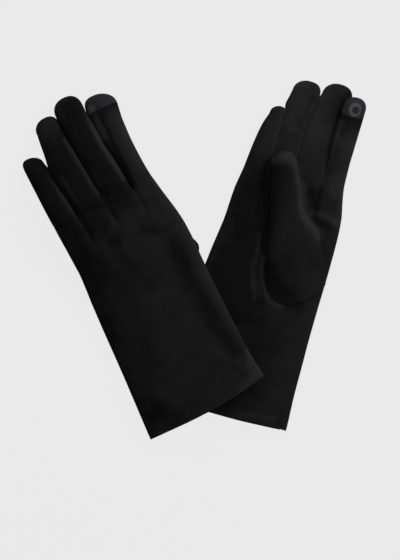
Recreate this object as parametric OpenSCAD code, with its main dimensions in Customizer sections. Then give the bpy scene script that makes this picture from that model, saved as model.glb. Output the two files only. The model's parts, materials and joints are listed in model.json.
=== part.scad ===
// A pair of lined dress gloves, laid flat and crossed at the cuffs.
// The left glove lies on top with its back up. The right glove lies under it with its palm up.
// Each thumb is folded across its palm, so the left thumb is tucked under its glove.
// A glove is cut and sewn from flat panels: a back and a palm joined by side seams, a folded
// strip (fourchette) in each slot between two fingers, a set-in thumb, a turned-up hem and a
// separate inner lining. Each finger bends at its middle joint, so its far end is a body of its own.
// One glove is modelled with its palm face on z = 0, fingers towards +Y and index finger on +X.
// The right glove is the same model mirrored in z.

/* [Hand] */
// Length from the hem to the finger roots
hand_l = 179; // [149:1:215]
// Flat width at the hem
cuff_w = 100; // [83:1:120]
// Flat width at the narrowest place of the palm
palm_w = 92; // [77:1:111]
// Distance from the finger roots down to the narrowest place of the palm
palm_drop = 47; // [39:1:57]
// Distance from the finger roots down to the web beside the thumb
web_drop = 26; // [22:1:32]
// Thickness of a glove as it lies flat
depth = 10; // [8.3:0.1:12]

/* [Fabric] */
// Thickness of the outer fabric
shell_t = 0.9; // [0.7:0.1:1.2]
// Thickness of the fleece lining
lining_t = 1.1; // [0.9:0.1:1.4]
// Height of the turned-up hem
hem_h = 14; // [11:1:18]

/* [Fingers] */
// Length of the little finger, root to tip
little_l = 69; // [58:1:83]
// Length of the ring finger, root to tip
ring_l = 87; // [73:1:105]
// Length of the middle finger, root to tip
middle_l = 91; // [76:1:109]
// Length of the index finger, root to tip
index_l = 88; // [74:1:106]
// Width of the little finger at its root
little_w = 19.5; // [16.5:0.5:23.5]
// Width of the ring finger at its root
ring_w = 21.5; // [18:0.5:26]
// Width of the middle finger at its root
middle_w = 22; // [18.5:0.5:26.5]
// Width of the index finger at its root
index_w = 20; // [16.5:0.5:24]
// Width of the little finger near its tip
little_tip_w = 16; // [13.5:0.5:19]
// Width of the ring finger near its tip
ring_tip_w = 18.5; // [15.5:0.5:21.5]
// Width of the middle finger near its tip
middle_tip_w = 19; // [16:0.5:22]
// Width of the index finger near its tip
index_tip_w = 18.5; // [15.5:0.5:20]
// Gap between two neighbouring fingers at their roots
finger_gap = 1; // [0.8:0.1:2]
// Distance from the little finger's root to its middle joint
little_bend = 26; // [22:1:31]

/* [Thumb] */
// Length of the thumb, from the middle of its root to its tip
thumb_l = 102; // [85:1:122]
// Width of the thumb at its root
thumb_w = 38; // [32:1:45]
// Width of the thumb near its tip
thumb_tip_w = 21; // [17:1:25]
// Distance of the thumb's root from the glove's centre line
thumb_x = 21; // [18:1:25]
// Distance from the finger roots down to the middle of the thumb's root
thumb_drop = 65; // [54:1:76]
// Lean of the folded thumb across the palm, in degrees
thumb_lean = 20; // [17:1:24]
// Radius of the opening from the palm into the thumb
thumb_hole_r = 12; // [10:0.5:14]

/* [Touch tip] */
// Length of the conductive fingertip on the palm side
touch_palm_l = 15; // [12:1:18]
// Length of the conductive fingertip on the back
touch_back_l = 11; // [9:1:13]

/* [Pair] */
// Turn of the left glove, anticlockwise from above, in degrees
left_turn = 25.5; // [21:0.5:30]
// Turn of the right glove, clockwise from above, in degrees
right_turn = 17; // [14:0.5:20]
// How much higher up the left hem lies than the right one
hem_step = 2.9; // [0:0.1:8]

/* [Clearances] */
// Gap between the two gloves where they cross
stack_gap = 0.3; // [0.2:0.1:0.6]
// Gap between a folded thumb and its palm
thumb_gap = 0.3; // [0.2:0.1:0.6]
// Gap across each finger's middle joint
joint_gap = 0.4; // [0.3:0.1:0.8]
// Gap from the folded thumb's tip to the fingers' middle joints
thumb_reach_gap = 5; // [4:0.5:8]
// Gap from the left thumb to the right glove's edge
thumb_edge_gap = 6.5; // [5:0.5:10]
// Height of the left fingertips above the surface
tip_rest = 0.6; // [0.5:0.1:1.2]

/* [Hidden] */
LEFT = 0;
RIGHT = 1;
LITTLE = 0;
INDEX = 3;
FINGERS = ["little", "ring", "middle", "index"];
GLOVES = ["left", "right"];
ARC_STEPS = 14;
CUT = 1;
HOLE_FN = 64;

FABRIC_BLACK = [0.08, 0.08, 0.085];
SEAM_BLACK = [0.12, 0.12, 0.125];
LINING_GREY = [0.2, 0.2, 0.21];
TOUCH_GREY = [0.34, 0.34, 0.37];

// Values in finger order, from the little finger to the index finger
finger_l = [little_l, ring_l, middle_l, index_l];
root_w = [little_w, ring_w, middle_w, index_w];
tip_w = [little_tip_w, ring_tip_w, middle_tip_w, index_tip_w];
root_rise = [-7, 0, 2, -2];
// Lean of each finger away from the glove's centre line, anticlockwise, for each glove
splay = [[4.6, 2.9, 3.3, 1.8], [-2.3, -0.2, -0.4, 1.0]];
// Sideways shift of the row of finger roots, for each glove
knuckle_shift = [-4, 0];
web_inset = 1.5;

knuckle_w = root_w[0] + root_w[1] + root_w[2] + root_w[3] + 3 * finger_gap;
palm_y = hand_l - palm_drop;
web_y = hand_l - web_drop;
thumb_y = hand_l - thumb_drop;
thumb_d = depth + stack_gap - thumb_gap - 0.2;
thumb_r = thumb_w / 2;
thumb_tip_r = thumb_tip_w / 2;
thumb_span = thumb_l - thumb_tip_r;
thumb_taper = asin((thumb_r - thumb_tip_r) / thumb_span);
thumb_reach = thumb_y + thumb_span * cos(thumb_lean) + thumb_tip_r;
joint_row_y = thumb_reach + thumb_reach_gap;
lined_t = shell_t + lining_t;
left_lift = depth + stack_gap;

// Distance between the two hems' centres, set so that the left thumb clears the right glove
hem_shift = palm_w / 2 + thumb_x + thumb_r + thumb_edge_gap
    - thumb_y * (sin(left_turn) + sin(right_turn));

turn = [left_turn, -right_turn];
hem_at = [[-hem_shift, hem_step], [0, 0]];

function total(list, n) = n <= 0 ? 0 : list[n - 1] + total(list, n - 1);
function backwards(list) = [for (i = [len(list) - 1:-1:0]) list[i]];
function along(a) = [-sin(a), cos(a)];
function across(a) = [cos(a), sin(a)];
function arc(centre, r, from, to) =
    [for (k = [0:ARC_STEPS]) let (a = from + (to - from) * k / ARC_STEPS)
        centre + r * [cos(a), sin(a)]];

// A finger's root, its middle joint and a place beside its centre line
function root(g, f) = [
    knuckle_shift[g] - knuckle_w / 2 + total(root_w, f) + f * finger_gap + root_w[f] / 2,
    hand_l + root_rise[f]
];
function bend(g, f) = f == LITTLE ? little_bend : (joint_row_y - root(g, f)[1]) / cos(splay[g][f]);
function beside(g, f, u, s) = root(g, f) + across(splay[g][f]) * u + along(splay[g][f]) * s;
function half_w(f, s) =
    let (r = tip_w[f] / 2) root_w[f] / 2 + (r - root_w[f] / 2) * s / (finger_l[f] - r);

// The glove's side edge: its half width at a distance y from the hem, up to the palm
function edge_w(y) = lookup(y, [[0, cuff_w / 2], [palm_y, palm_w / 2]]);

// The stretches of one hand panel's outline. inset moves every edge inwards, end is how far
// past the joint line the finger stubs run, and from is where the outline starts above the hem.
function little_side(g, inset, from, end) = [
    [-edge_w(from) + inset, from],
    [-palm_w / 2 + inset, palm_y],
    beside(g, LITTLE, inset - half_w(LITTLE, 0), 0),
    stub_corner(g, LITTLE, -1, inset, end)
];
function index_side(g, inset, from, end) = [
    stub_corner(g, INDEX, 1, inset, end),
    beside(g, INDEX, half_w(INDEX, 0) - inset, 0),
    [palm_w / 2 - web_inset - inset, web_y],
    [palm_w / 2 - inset, palm_y],
    [edge_w(from) - inset, from]
];
function stub_corner(g, f, side, inset, end) =
    let (s = bend(g, f) + end) beside(g, f, side * (half_w(f, s) - inset), s);
function slot(g, f, inset, end) = [
    stub_corner(g, f, 1, inset, end),
    slot_corner(g, f, f, 1, inset),
    slot_corner(g, f, f + 1, -1, inset),
    stub_corner(g, f + 1, -1, inset, end)
];
// A slot ends at the lower of its two fingers' roots
function slot_corner(g, low, f, side, inset) =
    let (s = min(root_rise[low], root_rise[low + 1]) - root_rise[f])
    beside(g, f, side * (half_w(f, s) - inset), s - inset);
function hand_outline(g, inset, from, end) = concat(
    little_side(g, inset, from, end),
    [for (f = [LITTLE:INDEX - 1]) each slot(g, f, inset, end)],
    index_side(g, inset, from, end)
);

// The far end of a finger, from its middle joint, with y along the finger
function far_l(g, f) = finger_l[f] - bend(g, f);
function far_side(g, f, side, inset, from) =
    let (r = tip_w[f] / 2 - inset, centre = [0, far_l(g, f) - tip_w[f] / 2])
    concat(
        [[side * (half_w(f, bend(g, f) + from) - inset), from]],
        arc(centre, r, side > 0 ? 0 : 180, 90)
    );
function far_outline(g, f, inset, from) =
    concat(far_side(g, f, -1, inset, from), backwards(far_side(g, f, 1, inset, from)));

// The thumb: two round ends joined by tangents, with y from its root towards its tip
function thumb_side(side, inset) = side > 0
    ? concat(arc([0, 0], thumb_r - inset, -90, thumb_taper),
             arc([0, thumb_span], thumb_tip_r - inset, thumb_taper, 90))
    : concat(arc([0, 0], thumb_r - inset, 270, 180 - thumb_taper),
             arc([0, thumb_span], thumb_tip_r - inset, 180 - thumb_taper, 90));
function thumb_outline(inset) = concat(thumb_side(-1, inset), backwards(thumb_side(1, inset)));

// How far the left fingers hang down from their joints to reach the surface
function droop(g, f) =
    g == LEFT ? asin((left_lift - tip_rest) / far_l(g, f)) : 0;

// Every place that can lie furthest out, in the pair's plane, for centring the pair
function placed(g, p) = hem_at[g] + across(turn[g]) * p[0] + along(turn[g]) * p[1];
function far_placed(g, f, p, z) =
    let (d = droop(g, f), y = p[1] * cos(d) + z * sin(d))
    placed(g, beside(g, f, p[0], bend(g, f) + y));
function reach_points(g) = concat(
    [for (side = [-1, 1]) placed(g, [side * cuff_w / 2, 0])],
    [for (f = [LITTLE:INDEX]) for (z = [0, depth]) for (p = far_outline(g, f, 0, 0))
        far_placed(g, f, p, z)]
);
reach = concat(reach_points(LEFT), reach_points(RIGHT));
function middle_of(k) = (min([for (p = reach) p[k]]) + max([for (p = reach) p[k]])) / 2;
pair_centre = [middle_of(0), middle_of(1)];

// Puts one glove's parts in their place in the pair
module place_glove(g) {
    at = hem_at[g] - pair_centre;
    if (g == LEFT)
        translate([at[0], at[1], left_lift]) rotate([0, 0, turn[g]]) children();
    else
        translate([at[0], at[1], depth]) rotate([0, 0, turn[g]]) mirror([0, 0, 1]) children();
}

// Puts a part of a finger's far end at its joint, hanging by its droop
module place_far_end(g, f) {
    joint = beside(g, f, 0, bend(g, f));
    place_glove(g)
        translate([joint[0], joint[1], 0])
        rotate([0, 0, splay[g][f]])
        rotate([-droop(g, f), 0, 0])
        children();
}

// Puts a thumb part under the palm, z = 0 being the face that touches the palm
module place_thumb(g) {
    place_glove(g) translate([thumb_x, thumb_y, -thumb_gap]) rotate([0, 0, thumb_lean]) children();
}

module slab(points, z, t) {
    translate([0, 0, z]) linear_extrude(t) polygon(points);
}

// A wall between the two panels, following one stretch of the outline
module wall(outer, inner) {
    slab(concat(outer, backwards(inner)), shell_t, depth - 2 * shell_t);
}

// A hollow layer inside the shell. The hollow outline runs past every open end.
module hollow_layer(outer, hollow, t) {
    difference() {
        slab(outer, shell_t, depth - 2 * shell_t);
        slab(hollow, shell_t + t, depth - 2 * (shell_t + t));
    }
}

module thumb_opening(z, t) {
    translate([thumb_x, thumb_y, z]) cylinder(h = t, r = thumb_hole_r, $fn = HOLE_FN);
}

module back_panel(g) {
    color(FABRIC_BLACK) place_glove(g)
        slab(hand_outline(g, 0, 0, -joint_gap / 2), depth - shell_t, shell_t);
}

module palm_panel(g) {
    color(FABRIC_BLACK) place_glove(g) difference() {
        slab(hand_outline(g, 0, 0, -joint_gap / 2), 0, shell_t);
        thumb_opening(-CUT, shell_t + 2 * CUT);
    }
}

module little_side_seam(g) {
    color(SEAM_BLACK) place_glove(g)
        wall(little_side(g, 0, 0, -joint_gap / 2), little_side(g, shell_t, 0, -joint_gap / 2));
}

module index_side_seam(g) {
    color(SEAM_BLACK) place_glove(g)
        wall(index_side(g, 0, 0, -joint_gap / 2), index_side(g, shell_t, 0, -joint_gap / 2));
}

// The strip folded into the slot between finger f and the next one
module fourchette(g, f) {
    color(SEAM_BLACK) place_glove(g)
        wall(slot(g, f, 0, -joint_gap / 2), slot(g, f, shell_t, -joint_gap / 2));
}

module cuff_hem(g) {
    color(FABRIC_BLACK) place_glove(g) hollow_layer(
        hem_band(shell_t, 0, hem_h), hem_band(2 * shell_t, -CUT, hem_h + CUT), shell_t);
}
function hem_band(inset, from, to) = [
    [-edge_w(from) + inset, from],
    [-edge_w(to) + inset, to],
    [edge_w(to) - inset, to],
    [edge_w(from) - inset, from]
];

module hand_lining(g) {
    color(LINING_GREY) place_glove(g) difference() {
        hollow_layer(
            hand_outline(g, shell_t, hem_h, -joint_gap / 2),
            hand_outline(g, lined_t, hem_h - CUT, CUT), lining_t);
        thumb_opening(shell_t - CUT, lining_t + 2 * CUT);
    }
}

// Everything beyond the slanted seam of the conductive fingertip, longer on the palm side
module beyond_touch_seam(g) {
    translate([0, far_l(g, INDEX) - touch_palm_l, 0])
        rotate([-atan((touch_palm_l - touch_back_l) / depth), 0, 0])
        translate([-index_w, 0, -2 * depth])
        cube([2 * index_w, index_l, 4 * depth]);
}

// Cuts a part of the index finger off at that seam and leaves the other fingers whole
module up_to_touch_seam(g, f) {
    if (f == INDEX)
        difference() {
            children();
            beyond_touch_seam(g);
        }
    else
        children();
}

module finger_back(g, f) {
    color(FABRIC_BLACK) place_far_end(g, f) up_to_touch_seam(g, f)
        slab(far_outline(g, f, 0, joint_gap / 2), depth - shell_t, shell_t);
}

module finger_palm(g, f) {
    color(FABRIC_BLACK) place_far_end(g, f) up_to_touch_seam(g, f)
        slab(far_outline(g, f, 0, joint_gap / 2), 0, shell_t);
}

module finger_sides(g, f) {
    color(SEAM_BLACK) place_far_end(g, f) up_to_touch_seam(g, f) for (side = [-1, 1])
        wall(far_side(g, f, side, 0, joint_gap / 2), far_side(g, f, side, shell_t, joint_gap / 2));
}

module finger_lining(g, f) {
    color(LINING_GREY) place_far_end(g, f) hollow_layer(
        far_outline(g, f, shell_t, joint_gap / 2),
        far_outline(g, f, lined_t, joint_gap / 2 - CUT), lining_t);
}

module touch_tip(g) {
    color(TOUCH_GREY) place_far_end(g, INDEX) difference() {
        intersection() {
            slab(far_outline(g, INDEX, 0, joint_gap / 2), 0, depth);
            beyond_touch_seam(g);
        }
        slab(far_outline(g, INDEX, shell_t, 0), shell_t, depth - 2 * shell_t);
    }
}

module thumb_inner(g) {
    color(FABRIC_BLACK) place_thumb(g) difference() {
        slab(thumb_outline(0), -shell_t, shell_t);
        translate([0, 0, -shell_t - CUT])
            cylinder(h = shell_t + 2 * CUT, r = thumb_hole_r, $fn = HOLE_FN);
    }
}

module thumb_outer(g) {
    color(FABRIC_BLACK) place_thumb(g) slab(thumb_outline(0), -thumb_d, shell_t);
}

module thumb_sides(g) {
    color(SEAM_BLACK) place_thumb(g) for (side = [-1, 1])
        slab(concat(thumb_side(side, 0), backwards(thumb_side(side, shell_t))),
            shell_t - thumb_d, thumb_d - 2 * shell_t);
}

module thumb_lining(g) {
    color(LINING_GREY) place_thumb(g) difference() {
        slab(thumb_outline(shell_t), shell_t - thumb_d, thumb_d - 2 * shell_t);
        slab(thumb_outline(lined_t), lined_t - thumb_d, thumb_d - 2 * lined_t);
        translate([0, 0, -lined_t - CUT])
            cylinder(h = lined_t + CUT, r = thumb_hole_r, $fn = HOLE_FN);
    }
}

function named(g, part) = str(GLOVES[g], "_", part);
function glove_nodes(g) = concat(
    [for (part = ["back_panel", "palm_panel", "little_side_seam", "index_side_seam",
                  "ring_little_fourchette", "middle_ring_fourchette", "index_middle_fourchette",
                  "hand_lining", "cuff_hem", "index_touch_tip",
                  "thumb_inner", "thumb_outer", "thumb_sides", "thumb_lining"])
        named(g, part)],
    [for (finger = FINGERS) for (part = ["back", "palm", "sides", "lining"])
        named(g, str(finger, "_", part))]
);

module show(name) {
    children();
}

for (g = [LEFT, RIGHT]) {
    show(named(g, "back_panel")) back_panel(g);
    show(named(g, "palm_panel")) palm_panel(g);
    show(named(g, "little_side_seam")) little_side_seam(g);
    show(named(g, "index_side_seam")) index_side_seam(g);
    show(named(g, "ring_little_fourchette")) fourchette(g, 0);
    show(named(g, "middle_ring_fourchette")) fourchette(g, 1);
    show(named(g, "index_middle_fourchette")) fourchette(g, 2);
    show(named(g, "hand_lining")) hand_lining(g);
    show(named(g, "cuff_hem")) cuff_hem(g);
    show(named(g, "index_touch_tip")) touch_tip(g);
    show(named(g, "thumb_inner")) thumb_inner(g);
    show(named(g, "thumb_outer")) thumb_outer(g);
    show(named(g, "thumb_sides")) thumb_sides(g);
    show(named(g, "thumb_lining")) thumb_lining(g);
    for (f = [LITTLE:INDEX]) {
        show(named(g, str(FINGERS[f], "_back"))) finger_back(g, f);
        show(named(g, str(FINGERS[f], "_palm"))) finger_palm(g, f);
        show(named(g, str(FINGERS[f], "_sides"))) finger_sides(g, f);
        show(named(g, str(FINGERS[f], "_lining"))) finger_lining(g, f);
    }
}
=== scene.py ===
"""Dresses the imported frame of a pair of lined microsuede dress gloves, laid flat and crossed."""

import json
import logging
import math
from dataclasses import dataclass, field
from enum import Enum
from typing import Optional, Sequence

import bmesh
import bpy
import numpy as np
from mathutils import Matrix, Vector


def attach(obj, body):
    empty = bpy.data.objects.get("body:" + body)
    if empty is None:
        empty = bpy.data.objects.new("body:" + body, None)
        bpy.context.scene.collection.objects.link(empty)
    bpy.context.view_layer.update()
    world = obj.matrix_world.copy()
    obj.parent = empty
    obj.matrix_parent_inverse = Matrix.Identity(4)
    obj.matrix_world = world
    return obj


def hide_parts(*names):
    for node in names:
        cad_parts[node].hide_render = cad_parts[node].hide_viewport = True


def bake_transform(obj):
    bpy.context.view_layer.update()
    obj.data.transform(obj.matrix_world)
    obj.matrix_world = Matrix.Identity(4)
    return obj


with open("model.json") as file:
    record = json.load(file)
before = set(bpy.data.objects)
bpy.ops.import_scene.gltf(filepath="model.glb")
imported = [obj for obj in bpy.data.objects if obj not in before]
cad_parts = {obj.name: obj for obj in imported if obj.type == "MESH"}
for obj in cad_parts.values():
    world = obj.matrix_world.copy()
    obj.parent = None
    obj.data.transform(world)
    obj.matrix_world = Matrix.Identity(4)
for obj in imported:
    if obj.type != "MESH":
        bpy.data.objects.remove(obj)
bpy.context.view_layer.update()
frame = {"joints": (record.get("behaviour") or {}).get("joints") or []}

LOG = logging.getLogger("gloves")
Array = np.ndarray
MM = 0.001

# The shell is microsuede, lined with thin fleece; the hem is the shell's own edge, turned up
SHELL_T = 0.9
HEM_T = 0.8
LINING_T = 1.0
LAYER_GAP = 0.08
HEM_H = 13.0
# The superellipses that the hand's and the fingers' cross-sections and the fingertips follow
HAND_POWER = 2.5
FINGER_POWER = 2.45
TIP_POWER = 2.25
# At a fingertip the thickness shrinks a little later than the width
TIP_BLUNTNESS = 0.8
# Share of the hand's half thickness at which its side strips meet its panels
HAND_SEAM = 0.55
# The hand's half thickness from the hem to the knuckles, as stations of y and height
KNUCKLE_Y = 182.0
HAND_HALF_T = ((0, 3.5), (14, 3.6), (60, 4.2), (130, 4.5), (160, 4.45), (KNUCKLE_Y, 4.35))
# Points of two grids that are this near each other are sewn together
SEW_GAP = 0.002
RIM_ANGLE = math.radians(48)
# Strips narrower than this have no cut of their own
NARROWEST_CUT = 10.0
FINGERS = ("little", "ring", "middle", "index")
LITTLE, INDEX = 0, 3


class Side(Enum):
    """Which hand a glove is for."""

    LEFT = "left"
    RIGHT = "right"


class TipPart(Enum):
    """The part of a finger's far end, seen from the touch fingertip's seam."""

    WHOLE = "whole"
    SHELL = "below the seam"
    CAP = "beyond the seam"


class Face(Enum):
    """The stretch of a glove's cross-section that a cut piece covers."""

    BACK = "back"
    PALM = "palm"
    LITTLE_SIDE = "little side"
    INDEX_SIDE = "index side"


FACES = (Face.BACK, Face.INDEX_SIDE, Face.PALM, Face.LITTLE_SIDE)
PANELS = (Face.BACK, Face.PALM)


def smooth(t: Array) -> Array:
    """Ease from 0 to 1 with flat ends."""
    t = np.clip(t, 0.0, 1.0)
    return t * t * (3.0 - 2.0 * t)


def flowing(x: Array, stations: Sequence[tuple[float, float]]) -> Array:
    """Follow stations with a smooth curve that doesn't overshoot them.

    Args:
        x: Places to read.
        stations: Pairs of place and value, in rising order of place.

    Returns:
        The curve's value at each place.
    """
    xs = np.array([s[0] for s in stations], float)
    ys = np.array([s[1] for s in stations], float)
    rise = np.diff(ys) / np.diff(xs)
    slope = np.zeros_like(ys)
    same = rise[:-1] * rise[1:] > 0
    slope[1:-1] = np.where(same, 2 * rise[:-1] * rise[1:] / np.where(same, rise[:-1] + rise[1:], 1), 0)
    slope[0], slope[-1] = rise[0], rise[-1]
    k = np.clip(np.searchsorted(xs, x) - 1, 0, len(xs) - 2)
    h = xs[k + 1] - xs[k]
    t = np.clip((np.asarray(x, float) - xs[k]) / h, 0, 1)
    return (
        (2 * t**3 - 3 * t**2 + 1) * ys[k]
        + (t**3 - 2 * t**2 + t) * h * slope[k]
        + (3 * t**2 - 2 * t**3) * ys[k + 1]
        + (t**3 - t**2) * h * slope[k + 1]
    )


def signed_power(value: Array, power: float) -> Array:
    """Raise the size of a number to a power and keep its sign."""
    return np.sign(value) * np.abs(value) ** power


def segment_distance(
    x: Array, y: Array, a: tuple[float, float], b: tuple[float, float]
) -> tuple[Array, Array]:
    """Measure how far points lie from a segment.

    Args:
        x: Places across, in millimetres.
        y: Places along, in millimetres.
        a: The segment's start.
        b: The segment's end.

    Returns:
        The distance of each point, and how far along the segment its nearest place is, 0 to 1.
    """
    ax, ay = a
    dx, dy = b[0] - ax, b[1] - ay
    t = np.clip(((x - ax) * dx + (y - ay) * dy) / (dx * dx + dy * dy), 0, 1)
    return np.hypot(x - ax - t * dx, y - ay - t * dy), t


def seam_angles(face: Face, corner: float, roll: float) -> tuple[float, float]:
    """The cross-section angles, in degrees, between which a finger's piece lies.

    The back and palm run from the little finger's side to the index finger's side, and the
    sides from the back to the palm.

    Args:
        face: The stretch of the cross-section.
        corner: Half the angle that a side strip covers.
        roll: How far the seams are turned round the finger.

    Returns:
        The angles of the piece's two seams; 0 is the index side and 90 the back.
    """
    return {
        Face.BACK: (180 - corner + roll, corner + roll),
        Face.INDEX_SIDE: (corner + roll, -corner + roll),
        Face.PALM: (-180 + corner + roll, -corner + roll),
        Face.LITTLE_SIDE: (180 - corner + roll, 180 + corner + roll),
    }[face]


def outermost(f: int, index_side: bool) -> bool:
    """Whether that side of finger number f is the edge of the whole hand."""
    return f == (INDEX if index_side else LITTLE)


@dataclass(frozen=True)
class Fold:
    """A soft ridge (positive rise) or crease (negative rise) along a path, in millimetres."""

    path: tuple[tuple[float, float], ...]
    width: float
    rise: float
    fade: float = 0.2

    def height(self, x: Array, y: Array) -> Array:
        """Give the fold's height at each place; it fades out towards both ends."""
        spans = [math.dist(a, b) for a, b in zip(self.path, self.path[1:])]
        nearest = np.full_like(x, 1e9)
        along = np.zeros_like(x)
        done = 0.0
        for a, b, span in zip(self.path, self.path[1:], spans):
            distance, t = segment_distance(x, y, a, b)
            closer = distance < nearest
            nearest = np.where(closer, distance, nearest)
            along = np.where(closer, (done + t * span) / sum(spans), along)
            done += span
        ends = smooth(along / self.fade) * smooth((1 - along) / self.fade)
        return self.rise * ends * np.exp(-((nearest / self.width) ** 2))


@dataclass(frozen=True)
class PaintedShading:
    """A patch of painted light (positive shade) or painted shade along a path, in millimetres."""

    path: tuple[tuple[float, float], ...]
    width: float
    shade: float

    def tone(self, x: Array, y: Array) -> Array:
        """Give the patch's painted change of light at each place."""
        nearest = np.full_like(x, 1e9)
        for a, b in zip(self.path, self.path[1:]):
            nearest = np.minimum(nearest, segment_distance(x, y, a, b)[0])
        # The painted patches end in ragged teeth, a few millimetres apart
        ragged = np.sin(x / 2.9 + 2 * np.sin(y / 7.3)) * np.sin(y / 3.7 + 2 * np.sin(x / 6.1))
        nearest = nearest + ragged * (0.4 + 0.16 * self.width)
        return self.shade * (1 - smooth((nearest / self.width - 0.2) / 1.5))


@dataclass(frozen=True)
class Ripples:
    """Random shallow waves of limp cloth: a sum of plane waves from one fixed seed."""

    seed: int
    count: int
    shortest: float
    longest: float
    height: float

    def lift(self, x: Array, y: Array) -> Array:
        """Give the waves' height at each place, in millimetres."""
        rng = np.random.default_rng(self.seed)
        total = np.zeros_like(x)
        for _ in range(self.count):
            length = math.exp(rng.uniform(math.log(self.shortest), math.log(self.longest)))
            angle = math.radians(rng.uniform(0, 180))
            phase = rng.uniform(0, 2 * math.pi)
            wave = 2 * math.pi / length * (x * math.cos(angle) + y * math.sin(angle)) + phase
            total = total + np.sin(wave + 0.6 * np.sin(0.37 * wave)) * length / self.longest
        return self.height * total / math.sqrt(self.count)


@dataclass(frozen=True)
class FingerCut:
    """One finger of a glove, as it is cut and sewn, in millimetres in its glove's own plan.

    The two edges are stations of y and x; the tip is a half superellipse above them.
    """

    name: str
    root_y: float
    top_y: float
    little_edge: tuple[tuple[float, float], ...]
    index_edge: tuple[tuple[float, float], ...]
    bend: float
    tip_r: float
    skew: float
    roll: float
    press: tuple[float, float] = (0.0, 0.0)
    drop: float = 0.0
    climb: float = 0.0
    half_t: float = 4.35
    thinning: float = 0.3
    corner: float = 38.0

    @property
    def length(self) -> float:
        """From the root to the tip."""
        return self.top_y - self.root_y

    @property
    def tip_start(self) -> float:
        """Where the round tip begins, from the root."""
        return self.length - self.tip_r

    def edges(self, s: Array) -> tuple[Array, Array]:
        """The x of the finger's two edges at s from its root."""
        y = self.root_y + np.minimum(s, self.tip_start)
        return flowing(y, self.little_edge), flowing(y, self.index_edge)

    def half_width(self, s: Array) -> Array:
        """Half the finger's width at s from the root, before the tip rounds off."""
        low, high = self.edges(s)
        return (high - low) / 2

    def plan(self, u: Array, s: Array) -> tuple[Array, Array]:
        """Place points that lie u beside the finger's middle line and s along it."""
        low, high = self.edges(s)
        over = np.clip((s - self.tip_start) / self.tip_r, 0, 1)
        return (low + high) / 2 + u + self.skew * over**2, self.root_y + s + 0 * u

    def half_thickness(self, s: Array) -> Array:
        """Half the finger's thickness at s from its root."""
        return self.half_t - self.thinning * np.clip(s / self.length, 0, 1)

    def over_tip(self, station: Array, inset: float) -> tuple[Array, Array]:
        """Follow stations over the round tip.

        Args:
            station: Distance from the root; the last tip_r of it goes round the tip.
            inset: How far inside the outer skin the layer lies.

        Returns:
            Each station's place along the finger, and the share of the width that is left there.
        """
        turn = np.clip((station - self.tip_start) / self.tip_r, 0, 1) * math.pi / 2
        power = 2 / TIP_POWER
        share = np.where(turn > math.pi / 2 - 1e-6, 0, np.clip(np.cos(turn), 0, 1) ** power)
        reach = self.tip_start + (self.tip_r - inset) * np.sin(turn) ** power
        return np.where(station > self.tip_start, reach, station), share

    def ring(self, station: Array, angle: Array, inset: float) -> Array:
        """Place points on the finger's skin.

        Args:
            station: Distance from the root; the last tip_r of it goes round the tip.
            angle: Cross-section angle in degrees, 0 at the index side and 90 at the back.
            inset: How far inside the outer skin the layer lies.

        Returns:
            Points with x and y in the glove's plan and z from the middle of the finger, back up.
        """
        s, shrink = self.over_tip(station, inset)
        a = np.radians(angle)
        cx = signed_power(np.cos(a), 2 / FINGER_POWER)
        cz = signed_power(np.sin(a), 2 / FINGER_POWER)
        half = (self.half_width(s) - inset) * shrink
        # A side that is pressed flat against the next finger is cut off at their shared line
        squeezed = half + np.where(cx < 0, self.press[0], self.press[1]) * shrink
        x, y = self.plan(np.clip(squeezed * cx, -half, half), s)
        z = (self.half_thickness(s) - inset) * shrink**TIP_BLUNTNESS * cz
        return np.stack([x, y, z], -1)


@dataclass(frozen=True)
class ThumbCut:
    """The set-in thumb, in millimetres, lying across the palm."""

    root_x: float = 21.0
    root_y: float = 114.0
    lean: float = 20.0
    root_r: float = 19.0
    tip_r: float = 10.5
    span: float = 91.5
    half_t: float = 4.6
    web_w: float = 9.0
    web_end: float = 54.0
    corner: float = 34.0
    roll: float = 20.0
    row_count: int = 96

    @property
    def taper(self) -> float:
        """Angle between the thumb's middle line and its sides, in radians."""
        return math.asin((self.root_r - self.tip_r) / self.span)

    def plan(self, u: Array, t: Array) -> tuple[Array, Array]:
        """Place points that lie u beside the thumb's middle line and t along it from its root."""
        a = math.radians(self.lean)
        return (
            self.root_x + math.cos(a) * u - math.sin(a) * t,
            self.root_y + math.sin(a) * u + math.cos(a) * t,
        )

    def rows(self, inset: float) -> tuple[Array, Array, Array]:
        """Give the rows from the root's round end to the tip.

        Args:
            inset: How far inside the outer skin the layer lies.

        Returns:
            The place, the half width and the half thickness of each row.
        """
        root, tip = self.root_r - inset, self.tip_r - inset
        low = root * math.sin(self.taper)
        high = self.span + tip * math.sin(self.taper)
        third = self.row_count // 3
        turn = np.linspace(-math.pi / 2, self.taper, third)
        body = np.linspace(low, high, self.row_count - 2 * third + 2)[1:-1]
        over = np.linspace(self.taper, math.pi / 2, third)
        place = np.concatenate([root * np.sin(turn), body, self.span + tip * np.sin(over)])
        slope = (body - low) / (high - low)
        flank = (root + (tip - root) * slope) * math.cos(self.taper)
        half = np.concatenate([root * np.cos(turn), flank, tip * np.cos(over)])
        # The root starts thin where it is sewn in and swells to its full height in 46 mm
        swell = smooth((place + self.root_r + 1) / 46) * 0.9 + 0.1
        rounding = np.concatenate([np.cos(turn) ** 0.55, np.ones_like(body), np.cos(over) ** 0.75])
        depth = (self.half_t - inset) * swell * np.clip(rounding, 0, 1)
        return place, np.maximum(half, 0), depth

    def web(self, place: Array, share: Array) -> Array:
        """How far the thumb's index side widens into the web of the hand, in millimetres."""
        along = smooth((self.web_end - place) / 17) * smooth((place + self.root_r) / 16)
        return self.web_w * along * np.maximum(share, 0) ** 1.5


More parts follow.
